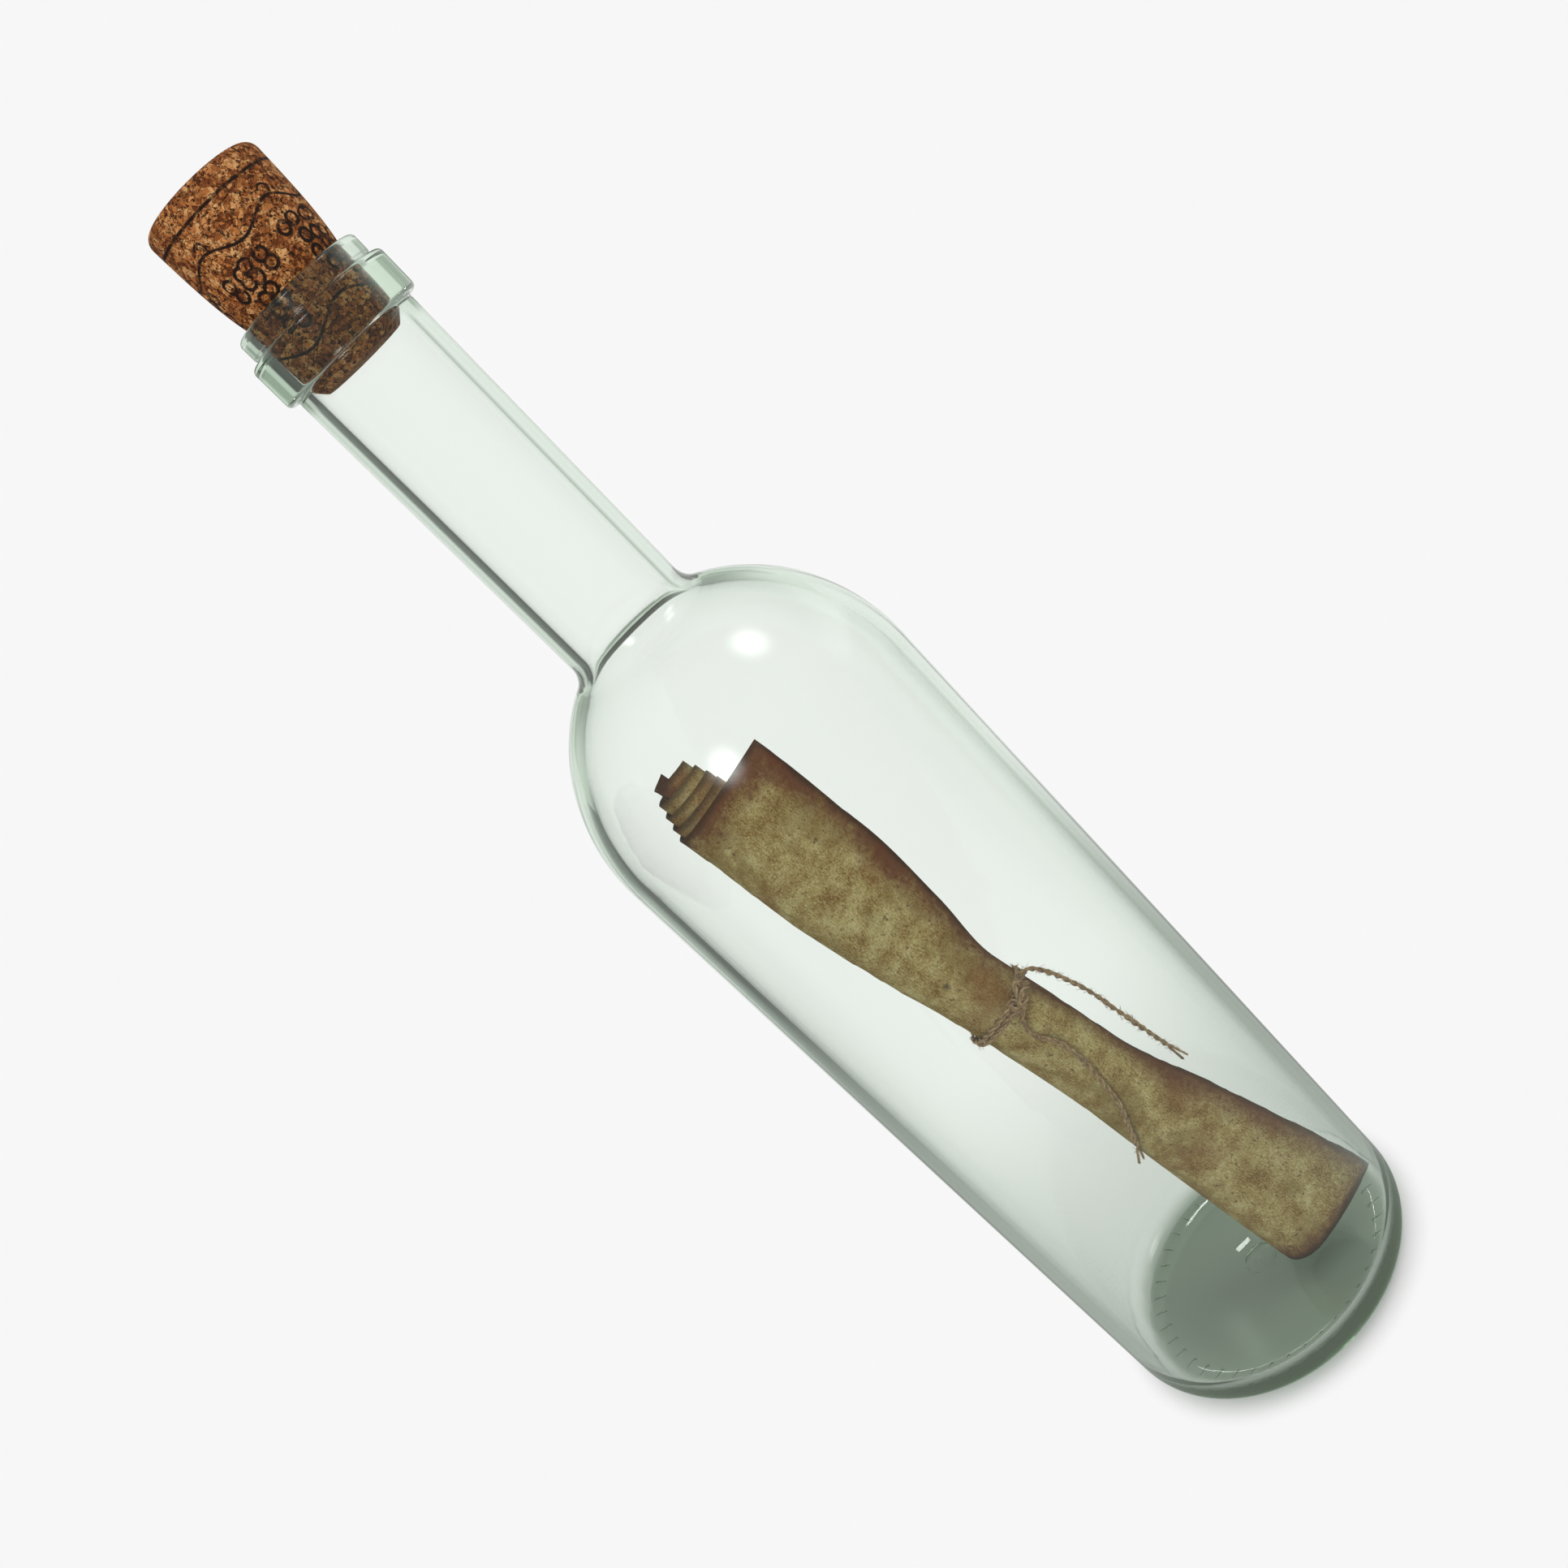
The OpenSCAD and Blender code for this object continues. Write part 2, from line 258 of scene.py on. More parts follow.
def smooth_route(points, steps=6):
    """A curve through the points, in metres."""
    points = [Vector(p) * MM for p in points]
    points = [2 * points[0] - points[1], *points, 2 * points[-1] - points[-2]]
    route = []
    for a, b, c, d in zip(points, points[1:], points[2:], points[3:]):
        for i in range(steps):
            u = i / steps
            route.append(0.5 * (2 * b + (c - a) * u + (2 * a - 5 * b + 4 * c - d) * u ** 2
                                + (3 * b - a - 3 * c + d) * u ** 3))
    return route + [points[-2]]


def route_length(route):
    return sum((b - a).length for a, b in zip(route, route[1:]))


# %% [markdown]
# A strand is drawn as a curve with a round section. Blender turns such a curve into a mesh tube,
# and many short curves in one object make the fuzz of loose fibres. The twist is measured along
# the route, so it stays even where the route's points lie closer together.

# %% Strands and fuzz
twist_length, points_per_twist = 4.6 * MM, 12
strand_r = 0.33 * twine_d
strand_offset = 0.35 * twine_d
split_opening = 1.7
fuzz_r = 0.04 * MM


def side_vectors(route):
    """A tangent and a steady pair of side vectors at each point, carried along without twist."""
    tangents = [(route[min(i + 1, len(route) - 1)] - route[max(i - 1, 0)]).normalized()
                for i in range(len(route))]
    across = tangents[0].orthogonal().normalized()
    frames = []
    for tangent in tangents:
        across = (across - tangent * across.dot(tangent)).normalized()
        frames.append((tangent, across, tangent.cross(across)))
    return frames


def even_route(route, gap):
    """The same curve with points at an even gap."""
    even, left = [route[0]], gap
    for a, b in zip(route, route[1:]):
        span = (b - a).length
        while left <= span:
            even.append(a.lerp(b, left / span))
            left += gap
        left -= span
    return even


def twisted_strands(route, start=0.0, split=0):
    """The centre lines of the two strands round a route. They part over its last split points."""
    route = even_route(route, twist_length / points_per_twist)
    strands = [[], []]
    for i, (point, (_, across, beside)) in enumerate(zip(route, side_vectors(route))):
        past_split = max(0, i - len(route) + split)
        angle = start + 2 * math.pi * (i - past_split) / points_per_twist
        apart = 1 + split_opening * past_split / max(1, split)
        off = apart * strand_offset * (math.cos(angle) * across + math.sin(angle) * beside)
        strands[0].append(point + off)
        strands[1].append(point - off)
    return strands


def tubes(name, lines, radius, sides=2):
    """One mesh of round tubes along many lines. A line ends a little thinner than it starts."""
    curve = bpy.data.curves.new(name, "CURVE")
    curve.dimensions = "3D"
    curve.bevel_depth = radius
    curve.bevel_resolution = sides
    curve.use_fill_caps = True
    for line in lines:
        spline = curve.splines.new("POLY")
        spline.points.add(len(line) - 1)
        for point, place in zip(spline.points, line):
            point.co = (*place, 1)
        spline.points[-1].radius = 0.6
    holder = bpy.data.objects.new(name, curve)
    mesh = bpy.data.meshes.new_from_object(holder)
    bpy.data.objects.remove(holder)
    for face in mesh.polygons:
        face.use_smooth = True
    return mesh


def fuzz_lines(route, per_mm, seed):
    """Short curling fibres that start on the twine's surface and stand off it."""
    rng = random.Random(seed)
    route = even_route(route, 0.1 * MM)
    frames = side_vectors(route)
    lines = []
    for _ in range(int(per_mm * route_length(route) / MM)):
        i = rng.randrange(len(route))
        tangent, across, beside = frames[i]
        angle = rng.uniform(0, 2 * math.pi)
        out = math.cos(angle) * across + math.sin(angle) * beside
        lean = rng.uniform(-1.8, 1.8)
        length = rng.uniform(0.35, 0.95) * MM
        bend = rng.uniform(-0.5, 0.5) * tangent + rng.uniform(-0.5, 0.5) * out.cross(tangent)
        start = route[i] + out * 0.42 * twine_d
        lines.append([start + length * (u * (out + lean * tangent) + u * u * bend)
                      for u in (0, 0.35, 0.7, 1)])
    return lines


# %% [markdown]
# Jute is dull and fibrous: its colour runs in thin streaks along each strand, from tan to a dark
# brown. The tube's own UV map runs along the strand, so noise that is stretched along it gives the
# streaks.

# %% Jute finish
jute = Finish("jute", Roughness=0.95)
along = jute.sheet_place(scale=(60, 5, 1))
streaks = jute.noise(along, 6.0, detail=3.0)
patches = jute.noise(jute.place(), 900.0, detail=2.0)
jute_colour = jute.ramp(streaks * 0.7 + patches * 0.3,
                        [(0.4, paint(92, 60, 40)), (0.5, paint(178, 138, 98)), (0.6, paint(228, 192, 148))])
jute.set("Base Color", jute_colour)
jute.set("Sheen Weight", 0.2)
jute.bump(streaks, 0.05 * MM)

# %% [markdown]
# Each tail hangs from the knot, and its two strands part over the last twist.

# %% The two tails
tails = {"side": (side_tail, 2, math.radians(90)), "front": (front_tail, 5, 0)}
for place, (points, seed, turn) in tails.items():
    route = smooth_route(points)
    length = route_length(route)
    strands = twisted_strands(route, turn, split=points_per_twist)
    tail = add_piece(f"tail_{place}", tubes("tail", strands, strand_r), jute,
                     "message", [f"twine_tail_{place}"])
    add_piece(f"tail_fuzz_{place}", tubes("fuzz", fuzz_lines(route, 5, seed), fuzz_r, 0), jute,
              "message")
    print(f"{place} tail: {length / MM:.1f} mm long")

# %% [markdown]
# The parchment is one sheet, rolled about four and three quarter turns and pinched at the waist.
# Each point of the sheet is found from two numbers: how many turns in from the loose edge it is,
# and how far up the sheet. A flat grid is bent by that rule, and Solidify gives the thickness.
# A cloth simulation could roll a sheet too, but a rule keeps the layers apart everywhere, and the
# twine can use it to find the waist.

# %% The roll's rule
sheet_h, sheet_t = 165.0, 0.4
roll_r, layer_pitch, core_close = 8.5, 0.8, 0.45
roll_turns, layer_lift, roll_foot_z = 4.72, 2.8, 7.8
inner_r, roll_gap, roll_side = 34.5, 0.2, math.radians(133)
roll_foot = Vector((12.6, -8))
lean_widens = 1.03
head_reach = inner_r - lean_widens * (roll_r + sheet_t / 2) - roll_gap
roll_head = head_reach * Vector((math.cos(roll_side), math.sin(roll_side)))
stations = [(0, 0, 10.9), (0.23, 1.1, 5.6), (0.39, 2.2, 0.2), (0.58, 1.4, 0.2), (0.69, -0.2, 5.6),
            (0.83, -1, 10.2), (1, -0.1, 10.9)]
roll_axis = Vector((*(roll_head - roll_foot), sheet_h)).normalized()
roll_right = Vector((0, 1, 0)).cross(roll_axis).normalized()
roll_back = roll_axis.cross(roll_right)
loose_turns, loose_widest, edge_front = 0.25, 11, 4.5
print(f"the roll leans {math.degrees(roll_axis.angle(Vector((0, 0, 1)))):.1f} degrees")


def station_slope(i, column):
    """The slope at a station: none at the ends and at a turning point, so nothing overshoots."""
    if i in (0, len(stations) - 1):
        return 0
    a, b, c = stations[i - 1:i + 2]
    before, after = (b[column] - a[column]) / (b[0] - a[0]), (c[column] - b[column]) / (c[0] - b[0])
    return 2 * before * after / (before + after) if before * after > 0 else 0


def station(share, column):
    """A column of the stations, read off a smooth curve at a share of the sheet's height."""
    i = max(k for k in range(len(stations) - 1) if k == 0 or stations[k][0] < share)
    (start, *_), (end, *_) = stations[i], stations[i + 1]
    first, second = stations[i][column], stations[i + 1][column]
    v = max(0, min(1, (share - start) / (end - start)))
    ease = v * v * (3 - 2 * v)
    bend = (1 - v) * station_slope(i, column) - v * station_slope(i + 1, column)
    return first * (1 - ease) + second * ease + (end - start) * v * (1 - v) * bend


def spine(z):
    share = (z - roll_foot_z) / sheet_h
    x, y = roll_foot + (roll_head - roll_foot) * share
    return Vector((x + station(share, 1), y, z))


def layer_r(turns):
    return roll_r - layer_pitch * turns - core_close * max(0, turns - 3) ** 2


def roll_point(turns, z):
    """A point of the sheet. Its loose edge leaves the roll at the front and lies out flat."""
    r, angle = layer_r(turns), 2 * math.pi * turns
    right, front = r * math.cos(angle), r * math.sin(angle)
    if turns < loose_turns:
        loose = station((z - roll_foot_z) / sheet_h, 2)
        flatness, w = min(1, loose / loose_widest), 1 - turns / loose_turns
        right = right * (1 - flatness) + r * w * flatness + loose * w
        front = front * (1 - flatness) + (r - (r - edge_front) * w * w) * flatness
    lift = Vector((0, 0, layer_lift * max(0, turns - 0.5)))
    return (spine(z) + right * roll_right - front * roll_back + lift) * MM


# %% [markdown]
# The sheet's UV map is its flat shape in millimetres. Each row of the grid has its own lengths,
# because the sheet is rolled tighter at the waist, so the paper's pattern isn't stretched.

# %% The sheet
columns, rows = 380, 70


def row_lengths(z):
    """How far along the flat sheet each column of the grid lies, at one height of the roll."""
    points = [roll_point(i / columns * roll_turns, z) for i in range(columns + 1)]
    lengths = [0.0]
    for a, b in zip(points, points[1:]):
        lengths.append(lengths[-1] + (b - a).length / MM)
    return lengths


bm = bmesh.new()
bmesh.ops.create_grid(bm, x_segments=columns, y_segments=rows, size=0.5)
uv = bm.loops.layers.uv.new("sheet")
unrolled = [row_lengths(roll_foot_z + sheet_h * i / rows) for i in range(rows + 1)]
flat_length = unrolled[rows // 2][-1]
for face in bm.faces:
    for loop in face.loops:
        column = round((loop.vert.co.x + 0.5) * columns)
        row = round((loop.vert.co.y + 0.5) * rows)
        loop[uv].uv = (unrolled[row][column], sheet_h * row / rows)
for vert in bm.verts:
    vert.co = roll_point((vert.co.x + 0.5) * roll_turns, roll_foot_z + (vert.co.y + 0.5) * sheet_h)
bmesh.ops.recalc_face_normals(bm, faces=bm.faces)
parchment_mesh = mesh_from(bm, "parchment_roll")
print(f"flat sheet: {flat_length:.0f} x {sheet_h:.0f} mm")

# %% [markdown]
# Old parchment has a pattern at every scale: broad brown clouds, olive pools, a mottle of a few
# millimetres, and flecks, grains and fibres. Its edges are scorched, most at the ends of the sheet
# and along the loose edge, and the very rim is almost black.

# %% Parchment finish
parchment = Finish("parchment", Roughness=0.85, Specular_IOR_Level=0.2)
flat = parchment.sheet_place(scale=(0.01, 0.01, 0.01))
from_edge = parchment.apart(flat, "X") * 100
up = parchment.apart(flat, "Y") * 100
clouds = parchment.noise(flat, 3.0, detail=5.0, roughness=0.6)
wide = parchment.sheet_place(scale=(0.012, 0.008, 0.01))
pools = parchment.noise(wide, 7.0, detail=4.0, roughness=0.6, distortion=0.6)
mottle = parchment.noise(flat, 16.0, detail=5.0, roughness=0.6)
flecks = parchment.noise(flat, 70.0, detail=3.0, roughness=0.7)
grains = parchment.noise(flat, 240.0, detail=3.0, roughness=0.7)
upright = parchment.sheet_place(scale=(0.03, 0.008, 0.01))
fibre = parchment.noise(upright, 110.0, detail=4.0, roughness=0.7)
base = parchment.ramp(mottle * 0.38 + grains * 0.3 + fibre * 0.32,
                      [(0.42, paint(130, 92, 48)), (0.47, paint(166, 136, 82)), (0.52, paint(190, 166, 112)),
                       (0.58, paint(214, 196, 146))])
base = parchment.mix(pools.step(0.5, 0.6) * 0.45, base, paint(132, 104, 54))
base = parchment.mix(clouds.step(0.5, 0.6) * 0.55, base, paint(134, 80, 38))
base = parchment.mix(flecks.step(0.58, 0.66) * mottle.step(0.42, 0.56) * 0.7, base, paint(100, 60, 26))
side_edge = from_edge.smallest(flat_length - from_edge)
end_edge = up.smallest(sheet_h - up)
scorch = (side_edge + (clouds - 0.5) * -14 + (mottle - 0.5) * -10 + (flecks - 0.5) * -8).step(8.0, 0.5)
end_scorch = (end_edge + (clouds - 0.5) * -28 + (mottle - 0.5) * -14 + (flecks - 0.5) * -10).step(9.0, 1.0)
scorch = scorch.largest(end_scorch * (from_edge.step(90, 40) * 0.6 + 0.4))
base = parchment.mix(scorch * 0.88, base, paint(106, 50, 26))
rim = (side_edge.smallest(end_edge) + (mottle - 0.5) * -3).step(2.0, 0.2)
base = parchment.mix(rim * 0.7, base, paint(54, 28, 14))
spots = parchment.cells(flat, 9.0).step(0.11, 0.02) * clouds.step(0.46, 0.5)
base = parchment.mix(spots * 0.75, base, paint(64, 44, 24))
parchment.set("Base Color", base)
parchment.bump(mottle * 0.5 + flecks * 0.3 + fibre * 0.2, 0.1 * MM)

roll = add_piece("parchment_roll", parchment_mesh, parchment, "message", ["parchment"])
thickness = roll.modifiers.new("thickness", "SOLIDIFY")
thickness.thickness = sheet_t * MM
thickness.offset = 0

# %% [markdown]
# The twine goes twice round the waist, over the outer layer, and ends in the knot. Its route is
# the roll's own rule with a slow climb.

# %% Turns round the waist
waist_z, waist_climb = 96.7, (0.06, -0.1)
twine_gap, wrap_pitch, wrap_turns, knot_angle = 0.14, 1.2, 2, math.radians(57)
wrap_r = roll_r + (sheet_t + twine_d / MM) / 2 + twine_gap


def round_waist(angle, r, z):
    climb = r * (waist_climb[0] * math.cos(angle) - waist_climb[1] * math.sin(angle))
    return (spine(waist_z + z + climb)
            + r * (math.cos(angle) * roll_right - math.sin(angle) * roll_back)) * MM


steps_per_turn = 60
wrap_at = [i / steps_per_turn for i in range(steps_per_turn * wrap_turns + 1)]
wrap_route = [round_waist(knot_angle + 2 * math.pi * t, wrap_r, wrap_pitch * (t - wrap_turns / 2))
              for t in wrap_at]
add_piece("waist_turns", tubes("turns", twisted_strands(wrap_route), strand_r), jute,
          "message", ["twine_wrap"])
add_piece("waist_fuzz", tubes("fuzz", fuzz_lines(wrap_route, 4, 8), fuzz_r, 0), jute,
          "message")

# %% [markdown]
# The knot is drawn as short routes in its own three directions: along the twine,
# up, and out from the roll. One makes the round loop at the left, one the tall loop at the right
# that runs back into the front tail, and one holds the root of the side tail.

# %% Knot
knot_r = wrap_r + 0.5
knot_centre = round_waist(knot_angle + 0.08, knot_r, -0.4)
knot_along = round_waist(knot_angle - 0.1, knot_r, 0) - round_waist(knot_angle + 0.1, knot_r, 0)
knot_along.normalize()
knot_up = (roll_axis - knot_along * roll_axis.dot(knot_along)).normalized()
knot_out = knot_along.cross(knot_up)
knot_paths = [
    [(-4, 0.6, -0.5), (-3.1, 0.6, 0.1), (-2.3, 1.15, 0.5), (-1.4, 0.85, 0.9), (-1.15, 0.1, 1.1),
     (-1.6, -0.65, 1.1), (-2.5, -0.55, 1), (-2.9, 0.2, 0.9), (-2.3, 0.7, 0.7), (-1.5, 0.2, 0.4),
     (-0.7, -0.6, 0.6), (0.2, -0.3, 1.1), (1.1, 0.2, 1.4), (2.2, 0, 1.3), (3.1, -0.5, 1),
     (3.4, 0, 0.6), (2.8, 0.5, 0.3)],
    [(-4, -0.7, -0.5), (-3, -0.9, 0), (-1.9, -1.1, 0.4), (-0.7, 0, 0.9), (0.3, 1.1, 1.1),
     (1.2, 2, 1.1), (1.9, 2, 1), (2.1, 1.1, 0.8), (1.8, 0.1, 0.5), (1.3, -0.9, 0.7),
     (0.2, -1.5, 0.9), (-1, -1.5, 1), (-1.9, -1.9, 0.9)],
    [(0.3, 0.2, 0.1), (1.2, 1, 0.5), (2.3, 1.6, 0.8), (3.1, 1.2, 0.7), (3.2, 0.4, 0.2)],
]
knot_size, knot_lines, knot_fuzz = 1.12, [], []
for seed, points in enumerate(knot_paths):
    route = [knot_centre + knot_size * (p.x * knot_along + p.y * knot_up + p.z * knot_out)
             for p in smooth_route(points)]
    knot_lines += twisted_strands(route)
    knot_fuzz += fuzz_lines(route, 3, seed)
add_piece("knot", tubes("knot", knot_lines, strand_r), jute, "message", ["twine_knot"])
add_piece("knot_fuzz", tubes("fuzz", knot_fuzz, fuzz_r, 0), jute, "message")
print(f"twine round the waist: {route_length(wrap_route) / MM:.0f} mm; knot: {len(knot_paths)} routes")

# %% [markdown]
# A bottle is blown in a mould and is round, so half of its section is drawn once and spun about
# the axis. The outline is straight lines joined by arcs. The shoulder is a quarter of an ellipse,
# and a fillet leads it into the neck. A curve with a Screw modifier would give the same shape, but
# a spin gives plain points at once, and the grips under the base are made by moving some of them.

# %% Bottle sizes
bottle_h, body_r, body_wall = 298.5, 37.5, 3.0
shoulder_z, shoulder_h, throat_r = 176.7, 40.0, 5.0
heel_r, floor_t, floor_rise, punt_h, standing_r = 7.0, 4.0, 1.5, 2.0, 28.0
knurl_count, knurl_depth, knurl_r, mark_r = 40, 0.25, 0.6, 4.0
bore_r, neck_wall = 11.1, 2.75
collar_r, collar_h, lip_r, lip_h, edge_r = 15.75, 9.2, 14.0, 4.3, 0.9
neck_r, lip_z = bore_r + neck_wall, bottle_h - lip_h


def arc(x, z, r, start, end, steps=8):
    """Points on an arc, with its angles in degrees."""
    turn = [math.radians(start + (end - start) * i / steps) for i in range(steps + 1)]
    return [(x + r * math.cos(a), z + r * math.sin(a)) for a in turn]


def shoulder_outline(rx, rz, r, fillet, steps=26):
    """A quarter ellipse and the fillet that leads it into a neck of radius r."""
    low, high = 0.3, 1.55
    for _ in range(30):
        a = (low + high) / 2
        nx, nz = Vector((math.cos(a) / rx, math.sin(a) / rz)).normalized()
        if rx * math.cos(a) + fillet * nx > r + fillet:
            low = a
        else:
            high = a
    points = [(rx * math.cos(a * i / steps), shoulder_z + rz * math.sin(a * i / steps))
              for i in range(steps + 1)]
    centre = (points[-1][0] + fillet * nx, points[-1][1] + fillet * nz)
    start = math.degrees(math.atan2(-nz, -nx)) + 360
    return points + arc(*centre, fillet, start, 180)[1:]


# %% [markdown]
# The long straight walls have extra points near their ends. Smooth shading blends the normals of
# neighbouring faces, and without these points a flat wall would be shaded like a lens.

# %% Bottle outline
floor_edge = inner_r - heel_r + 1


def punt_z(r):
    return punt_h * (1 + math.cos(math.pi * r / standing_r)) / 2


mark_z = punt_h + knurl_depth
underside = ([(0, mark_z), (mark_r - 0.1, mark_z), (mark_r, mark_z - 0.05), (mark_r, punt_z(mark_r))]
             + [(r, punt_z(r)) for r in (4.3, 7, 10, 13, 16, 19, 22, 25, 27, standing_r)]
             + [(28.04, 0), (29.2, 0)])
outside = (arc(body_r - heel_r, heel_r, heel_r, -90, 0, 16)
           + [(body_r, z) for z in (8, 50, 100, 140, 175)]
           + shoulder_outline(body_r, shoulder_h, neck_r, throat_r)
           + [(neck_r, z) for z in (226, 240, 265, lip_z - collar_h - 1, lip_z - collar_h - 0.6)]
           + arc(neck_r + 0.6, lip_z - collar_h - 0.6, 0.6, 180, 90, 4)[1:]
           + arc(collar_r - edge_r, lip_z - collar_h + edge_r, edge_r, -90, 0)
           + [(collar_r, lip_z - collar_h + edge_r + 0.2), (collar_r, lip_z - edge_r - 0.6)]
           + arc(collar_r - edge_r, lip_z - 0.4 - edge_r, edge_r, 0, 90)
           + [(lip_r, lip_z - 0.4), (lip_r - 0.3, lip_z), (lip_r, lip_z + 0.5), (lip_r, lip_z + 0.8),
              (lip_r, bottle_h - edge_r - 0.2)]
           + arc(lip_r - edge_r, bottle_h - edge_r, edge_r, 0, 90))
inside = ([(floor_edge * i / 10, floor_t + floor_rise * (1 + math.cos(math.pi * i / 10)) / 2)
           for i in range(10)]
          + arc(floor_edge, floor_t + heel_r - 1, heel_r - 1, -90, 0)
          + [(inner_r, z) for z in (11.5, 50, 100, 140, 175)]
          + shoulder_outline(inner_r, shoulder_h - body_wall, bore_r, throat_r + neck_wall)
          + [(bore_r, z) for z in (226, 240, 265, bottle_h - edge_r - 0.3)]
          + arc(bore_r + edge_r, bottle_h - edge_r, edge_r, 180, 90))


def spun(outline, steps=192):
    """Spins an outline of (radius, height) points, in millimetres, about the upright axis."""
    bm = bmesh.new()
    verts = [bm.verts.new((r * MM, 0, z * MM)) for r, z in outline]
    edges = [bm.edges.new(pair) for pair in zip(verts, verts[1:])]
    bmesh.ops.spin(bm, geom=verts + edges, cent=(0, 0, 0), axis=(0, 0, 1), angle=2 * math.pi,
                   steps=steps, use_merge=True)
    bmesh.ops.remove_doubles(bm, verts=bm.verts, dist=0.00001)
    bmesh.ops.recalc_face_normals(bm, faces=bm.faces)
    return bm


# %% [markdown]
# Short grips are moulded across the ring that the bottle stands on. The spin gives twelve columns
# of points to each grip. They are drawn together round it, and where they lie inside a round
# groove, they are lifted to its surface.

# %% Grips under the base
columns_at = [0, 1.7, 3.1, 3.55, 3.9, 4.2, 4.5, 4.8, 5.1, 5.45, 5.9, 7.3]
grip_step = 360 / knurl_count
column_step = grip_step / len(columns_at)
glass_bm = spun(underside + outside + inside[::-1], steps=len(columns_at) * knurl_count)
for vert in glass_bm.verts:
    r = math.hypot(vert.co.x, vert.co.y) / MM
    turned = round(math.degrees(math.atan2(vert.co.y, vert.co.x)) / column_step)
    grip, column = divmod(turned, len(columns_at))
    angle = math.radians(grip_step * grip + columns_at[column])
    vert.co.x, vert.co.y = r * MM * math.cos(angle), r * MM * math.sin(angle)
    beside = r * math.sin(math.radians(columns_at[column] - grip_step / 2))
    under_ring = standing_r + 0.01 < r < body_r - heel_r + 2.5 and vert.co.z < 1 * MM
    if under_ring and abs(beside) < knurl_r:
        groove = knurl_depth - knurl_r + math.sqrt(knurl_r ** 2 - beside ** 2)
        vert.co.z = max(vert.co.z, groove * MM)
glass_mesh = mesh_from(glass_bm, "bottle_glass")
print("glass:", len(glass_mesh.polygons), "faces")

# %% [markdown]
# Clear bottle glass is faintly green, because a little iron in it takes up red and blue light. The
# colour belongs in the volume, so a thick collar is greener than a thin wall. Light that casts
# shadows passes straight through, and loses more of itself where the glass is thick. A ray that is
# mirrored on and on inside thick glass ends in a painted glow, a dim green, instead of black.

# %% Glass finish
glass = Finish("bottle_glass", Base_Color=(1, 1, 1, 1), Roughness=0.0, IOR=1.5, Transmission_Weight=1.0)
tint = glass.node("ShaderNodeVolumeAbsorption", None, {"Color": (0.1, 0.78, 0.1, 1), "Density": 14.0})
glass.tree.links.new(tint.socket, glass.output.inputs["Volume"])
height = glass.apart(glass.place(), "Z")
wall_clear = glass.node("ShaderNodeBsdfTransparent", None, {"Color": (0.92, 0.95, 0.92, 1)})
collar_clear = glass.node("ShaderNodeBsdfTransparent", None, {"Color": (0.5, 0.54, 0.5, 1)})
base_clear = glass.node("ShaderNodeBsdfTransparent", None, {"Color": (0.5, 0.54, 0.5, 1)})
clear = glass.node("ShaderNodeMixShader", None,
                   {0: height.step(283 * MM, 285 * MM), 1: wall_clear, 2: collar_clear})
clear = glass.node("ShaderNodeMixShader", None, {0: height.step(10 * MM, 7 * MM), 1: clear, 2: base_clear})
shadow_ray = glass.light_path("Is Shadow Ray")
surface = Wire(glass, glass.surface.outputs[0])
mixed = glass.node("ShaderNodeMixShader", None, {0: shadow_ray, 1: surface, 2: clear})
mirrors = glass.light_path("Glossy Depth").math("GREATER_THAN", 3.5)
trapped = glass.light_path("Ray Depth").math("GREATER_THAN", 9.5).largest(mirrors)
# Painted glow: a ray trapped inside the glass ends on this dim emission instead of black.
painted_trapped_glow = glass.node("ShaderNodeEmission", None, {"Color": (0.14, 0.12, 0.13, 1), "Strength": 1.0})
mixed = glass.node("ShaderNodeMixShader", None, {0: trapped, 1: mixed, 2: painted_trapped_glow})
glass.tree.links.new(mixed.socket, glass.output.inputs["Surface"])
add_piece("bottle_glass", glass_mesh, glass, "glass", ["bottle"])

# %% [markdown]
# The cork is pressed from granules. It narrows where the neck squeezes it, has a bevel at its
# foot, and its top edge is worn round. Its UV map is unrolled from its side in millimetres, with
# the lip of the bottle at zero, so that lines can be drawn round it. Like the bottle it is spun
# from half of its section, which is quicker and rounder than cutting a cylinder to shape.

# %% Cork
cork_out, cork_in, cork_gap = 21.8, 16.2, 0.05
cork_swell, cork_swell_h, cork_round, cork_bevel, cork_taper = 1.7, 7.0, 2.0, 1.8, 0.3
cork_r = bore_r - cork_gap


def cork_head_r(z):
    return cork_r + cork_swell * (1 - math.exp(-z / cork_swell_h))


head_top = cork_out - cork_round
cork_outline = ([(r, -cork_in) for r in (0, 4, 8, cork_r - cork_taper - cork_bevel)]
                + [(cork_r - cork_taper, cork_bevel - cork_in), (cork_r, -cork_in / 2), (cork_r, -4.0)]
                + [(cork_head_r(head_top * i / 24), head_top * i / 24) for i in range(25)]
                + arc(cork_head_r(head_top) - cork_round, head_top, cork_round, 0, 90)[1:]
                + [(6, cork_out), (3, cork_out), (0, cork_out)])
cork_bm = spun([(r, bottle_h + z) for r, z in cork_outline])
unrolled_r = 12.5
side_uv = cork_bm.loops.layers.uv.new("side")
for face in cork_bm.faces:
    middle = face.calc_center_median()
    for loop in face.loops:
        turn = math.atan2(middle.y, middle.x)
        turn -= middle.xy.angle_signed(loop.vert.co.xy, 0)
        loop[side_uv].uv = (turn * unrolled_r, loop.vert.co.z / MM - bottle_h)
cork_mesh = mesh_from(cork_bm, "cork_plug")
print("cork:", len(cork_mesh.polygons), "faces")

# %% [markdown]
# Granules are cells of a Voronoi pattern, bent by noise so that none is a neat polygon. Finer
# cells and grain lie inside them, and dark pits between. A ring, a wavy vine and bunches of round
# berries are burnt on in thin lines, as is common on a cork for wine. Each berry is a circle round
# the middle of a cell, and it is kept or left out whole.

